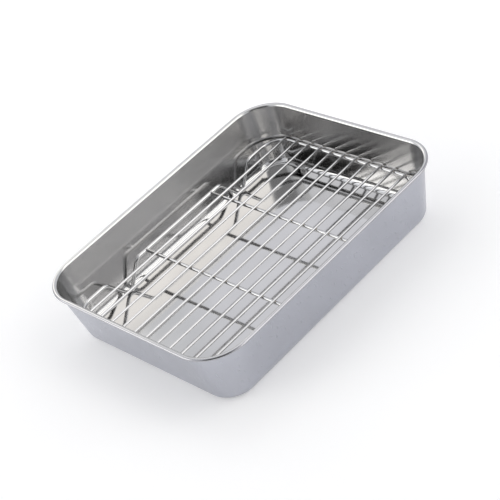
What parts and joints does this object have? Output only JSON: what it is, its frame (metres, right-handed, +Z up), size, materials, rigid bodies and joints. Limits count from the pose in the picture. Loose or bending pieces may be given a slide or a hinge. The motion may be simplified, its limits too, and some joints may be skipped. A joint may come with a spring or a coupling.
{
  "type": "baking dish with rack",
  "caption": "Deep rectangular stainless steel baking dish with leaning walls, rounded corners and a rolled rim, and a loose wire rack that stands in it on bent feet.",
  "frame": {"origin": "middle of the tray's underside, on the surface it stands on", "axes": "+X along the dish, +Y across it towards the wall that the rack is pushed to, +Z up"},
  "size_m": [0.25, 0.191, 0.051],
  "materials": {
    "tray_steel": "satin outside, bright inside",
    "wire_steel": "polished wire"
  },
  "bodies": {
    "tray": {"tray": "tray_steel"},
    "rack": {"rack_frame": "wire_steel", "crossbar_near": "wire_steel", "crossbar_far": "wire_steel", "grid_wire_01": "wire_steel", "grid_wire_02": "wire_steel", "grid_wire_03": "wire_steel", "grid_wire_04": "wire_steel", "grid_wire_05": "wire_steel", "grid_wire_06": "wire_steel", "grid_wire_07": "wire_steel", "grid_wire_08": "wire_steel", "grid_wire_09": "wire_steel", "grid_wire_10": "wire_steel", "grid_wire_11": "wire_steel"}
  },
  "joints": [
    {"name": "rack_lift", "type": "slide", "parent": "tray", "child": "rack", "axis": [0, 0, 1], "range_m": [0, 0.06]}
  ]
}
